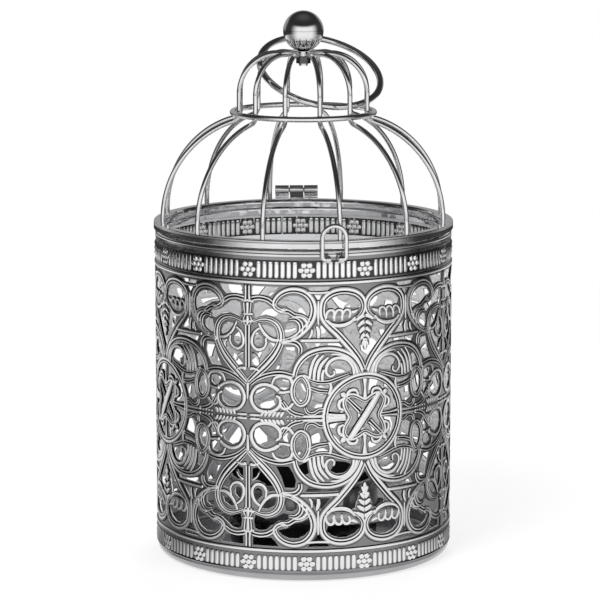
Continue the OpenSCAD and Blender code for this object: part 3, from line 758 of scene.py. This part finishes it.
def finish_cad_pieces():
    """Gives every CAD piece its finish. The pieces that aren't named here are the ribs of the dome."""
    finish_of = {
        "wall": sheet_chrome,
        "body_rim": pressed_chrome,
        "base_plate": base_chrome,
        "candle_cup": cup_finish(),
        "hinge_body_leaf": pressed_chrome,
        "hinge_pin": plain_steel,
        "clasp_barrel": pressed_chrome,
        "clasp_loop": wire_chrome,
        "lid_rim": pressed_chrome,
        "hinge_lid_leaf": pressed_chrome,
        "neck_ring": wire_chrome,
        "crown_hub": pressed_chrome,
        "ball_finial": ball_chrome,
        "finial_nut": plain_steel,
        "ring_handle": wire_chrome,
    }
    for name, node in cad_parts.items():
        node.data.materials.clear()
        node.data.materials.append(finish_of.get(name, wire_chrome))


filigree_relief(relief_chrome)
band_relief(band_chrome)
finish_cad_pieces()

# ---------------------------------------------------------------- studio, in metres
FLOOR = 8                 # half the floor's width
FLOOR_Z = -0.0002
SHADOW = (0.06, 0.45)     # where the floor starts and ends to turn from its shaded look to plain white
SHADED_WHITE = 0.72       # the share of plain white nearest to the object

TENT = 1.6                # radius
TENT_FOOT_Z = 0.0005      # height of its floor, over the white one
# radii of its floor's corners, from just outside the drum
TENT_FLOOR_RINGS = (0.0425, 0.06, 0.08, 0.1, 0.13, 0.16, 0.2, 0.25, 0.3, 0.38, 0.45, 0.5, 0.55, 0.6,
                    0.7, 0.8, 0.9, 1.0, 1.1, TENT)
TENT_STEP = 3             # degrees between its corners
BRIGHTEST = CAMERA_AZ + 8  # azimuth of the middle of its lit front, a little to the camera's right

# How strongly the tent's cloth glows, where the lit front has 1. A pair is where a change starts and ends,
# in degrees round from the brightest azimuth, in degrees up, or in metres from the object's axis.
DARK_CLOTH = 0.04
FRONT_FADE = (34, 88)     # round, from the lit front to dark cloth
BACK_GLOW = 0.32          # of the wall behind the object, over the dark cloth's
BACK_RISE = (118, 145)    # round
WALL_END = (22, 38)       # up, from the wall of light to the ceiling
CEILING_GLOW = (0.03, 0.08)   # levels at its edge and overhead
CEILING_RISE = (50, 90)   # up
HORIZON_GLOW = 0.55       # share of the wall's light right over the floor
HORIZON_END = (3, 8)      # up
SIDE_FLOOR_GLOW = 0.22    # of the floor near the object at its sides, over the dark cloth's
BACK_FLOOR_GLOW = 0.72    # and behind it
BACK_FLOOR_RISE = (95, 135)   # round
NEAR_FLOOR_END = (0.45, 0.6)  # metres
SHADOW_BESIDE_OBJECT = 0.84      # painted shadow of the object: share of the floor's glow right beside it
SHADOW_BESIDE_END = (0.1, 0.3)   # metres, over which the painted shadow fades

AIM = Vector((0, 0, 0.07))    # what the lamps shine at


def white_world():
    """White where the camera or a reflection sees it, softer as light."""
    world = bpy.data.worlds.new("studio")
    scene.world = world
    world.use_nodes = True
    nodes = world.node_tree.nodes
    links = world.node_tree.links
    nodes.clear()
    out = nodes.new("ShaderNodeOutputWorld")
    soft = nodes.new("ShaderNodeBackground")
    soft.inputs["Color"].default_value = (0.9, 0.92, 0.95, 1)
    soft.inputs["Strength"].default_value = 0.5
    white = nodes.new("ShaderNodeBackground")
    white.inputs["Color"].default_value = (1, 1, 1, 1)
    white.inputs["Strength"].default_value = 1.0
    mix_shaders(nodes, links, plain_rays(nodes, links), soft, white, out.inputs["Surface"])


def stage_object(name, verts, faces, mat):
    """A mesh of the studio, which isn't a piece of the part."""
    mesh = bpy.data.meshes.new(name)
    mesh.from_pydata(verts, [], faces)
    mesh.materials.append(mat)
    obj = bpy.data.objects.new(name, mesh)
    scene.collection.objects.link(obj)
    return obj


def floor_finish():
    """Plain white far from the object. Near it, the floor also takes light, and so the object's shadow."""
    mat, nodes, links, cloth = new_material("floor")
    cloth.inputs["Base Color"].default_value = (0.9, 0.9, 0.9, 1)
    cloth.inputs["Roughness"].default_value = 0.9
    white = nodes.new("ShaderNodeEmission")
    white.inputs["Color"].default_value = (1, 1, 1, 1)
    white.inputs["Strength"].default_value = 1.0
    place = nodes.new("ShaderNodeTexCoord")
    distance = nodes.new("ShaderNodeVectorMath")
    distance.operation = "LENGTH"
    links.new(place.outputs["Object"], distance.inputs[0])
    share = math_node(nodes, "MULTIPLY")
    links.new(plain_rays(nodes, links), share.inputs[0])
    fade = map_range(nodes, links, distance.outputs["Value"], SHADOW, (SHADED_WHITE, 1.0), smooth=True)
    links.new(fade, share.inputs[1])
    surface = nodes["Material Output"].inputs["Surface"]
    mix_shaders(nodes, links, share.outputs[0], cloth, white, surface)
    return mat


def white_floor():
    """The floor, wide enough to fill every view."""
    corners = [(x * FLOOR, y * FLOOR, FLOOR_Z) for x, y in ((-1, -1), (1, -1), (1, 1), (-1, 1))]
    stage_object("floor", corners, [(0, 1, 2, 3)], floor_finish())


def around(az, el, distance):
    """A point at this azimuth and elevation, in degrees, from the middle of the floor."""
    a = math.radians(az)
    e = math.radians(el)
    flat = distance * math.cos(e)
    return (flat * math.sin(a), -flat * math.cos(a), distance * math.sin(e))


def from_brightest(az):
    """Degrees round from the middle of the lit front, on either side."""
    return abs((az - BRIGHTEST + 180) % 360 - 180)


def blend(x, span, start, end):
    """Goes smoothly from start to end while x goes over the span."""
    u = min(1.0, max(0.0, (x - span[0]) / (span[1] - span[0])))
    return start + (end - start) * u * u * (3 - 2 * u)


def dome_glow(az, el):
    """Glow of the tent: a low wall of light in front, a dimmer one behind and a dark ceiling."""
    away = from_brightest(az)
    wall = blend(away, FRONT_FADE, 1, DARK_CLOTH) + blend(away, BACK_RISE, 0, BACK_GLOW)
    low = blend(el, WALL_END, 1, 0)
    horizon = blend(el, HORIZON_END, HORIZON_GLOW, 1)
    ceiling = blend(el, CEILING_RISE, *CEILING_GLOW)
    return wall * horizon * low + ceiling * (1 - low)


def floor_glow(az, r):
    """Glow of the tent's floor: lit in front, and near the object also at its sides and behind, with a
    painted shadow right beside the object.
    """
    away = from_brightest(az)
    front = blend(away, FRONT_FADE, 1, 0)
    sides_and_back = blend(away, BACK_FLOOR_RISE, SIDE_FLOOR_GLOW, BACK_FLOOR_GLOW)
    near = blend(r, NEAR_FLOOR_END, 1, 0)
    glow = DARK_CLOTH + (1 - DARK_CLOTH) * front + sides_and_back * near * (1 - front)
    # painted shadow of the object on the tent's floor
    return glow * blend(r, SHADOW_BESIDE_END, SHADOW_BESIDE_OBJECT, 1)


def lit_cloth():
    """Cloth that glows as strongly as its mesh says."""
    mat, nodes, links = new_material("lit_cloth")[:3]
    light = nodes.new("ShaderNodeEmission")
    level = nodes.new("ShaderNodeAttribute")
    level.attribute_name = "glow"
    links.new(level.outputs["Fac"], light.inputs["Strength"])
    links.new(light.outputs[0], nodes["Material Output"].inputs["Surface"])
    return mat


def tent():
    """A tent that only reflections see."""
    azimuths = range(0, 360, TENT_STEP)
    verts = []
    glow = []
    for r in TENT_FLOOR_RINGS:
        for az in azimuths:
            x, y = around(az, 0, r)[:2]
            verts.append((x, y, TENT_FOOT_Z))
            glow.append(floor_glow(az, r))
    for el in range(TENT_STEP, 90, TENT_STEP):
        for az in azimuths:
            verts.append(around(az, el, TENT))
            glow.append(dome_glow(az, el))
    n = len(azimuths)
    last_ring = len(verts) - n
    faces = []
    for ring in range(0, last_ring, n):
        for i in range(n):
            j = (i + 1) % n
            faces.append((ring + i, ring + j, ring + n + j, ring + n + i))
    faces.append(tuple(range(last_ring, last_ring + n)))
    obj = stage_object("tent", verts, faces, lit_cloth())
    level = obj.data.attributes.new("glow", "FLOAT", "POINT")
    level.data.foreach_set("value", glow)
    obj.visible_camera = False
    obj.visible_diffuse = False
    obj.visible_shadow = False
    obj.visible_transmission = False
    obj.visible_volume_scatter = False


def lamp(name, az, el, distance, size, power):
    """A round lamp that shines at the object and that reflections don't see."""
    data = bpy.data.lights.new(name, "AREA")
    data.shape = "DISK"
    data.size = size
    data.energy = power
    obj = bpy.data.objects.new(name, data)
    obj.location = Vector(around(az, el, distance)) + AIM
    obj.rotation_mode = "QUATERNION"
    obj.rotation_quaternion = (AIM - obj.location).to_track_quat("-Z", "Y")
    obj.visible_glossy = False
    scene.collection.objects.link(obj)


scene.view_settings.view_transform = "Standard"
white_world()
white_floor()
tent()
lamp("key", az=-35, el=50, distance=1.1, size=0.5, power=9)
lamp("fill", az=50, el=30, distance=1.2, size=0.6, power=4)
lamp("rim", az=165, el=45, distance=1.1, size=0.5, power=5)
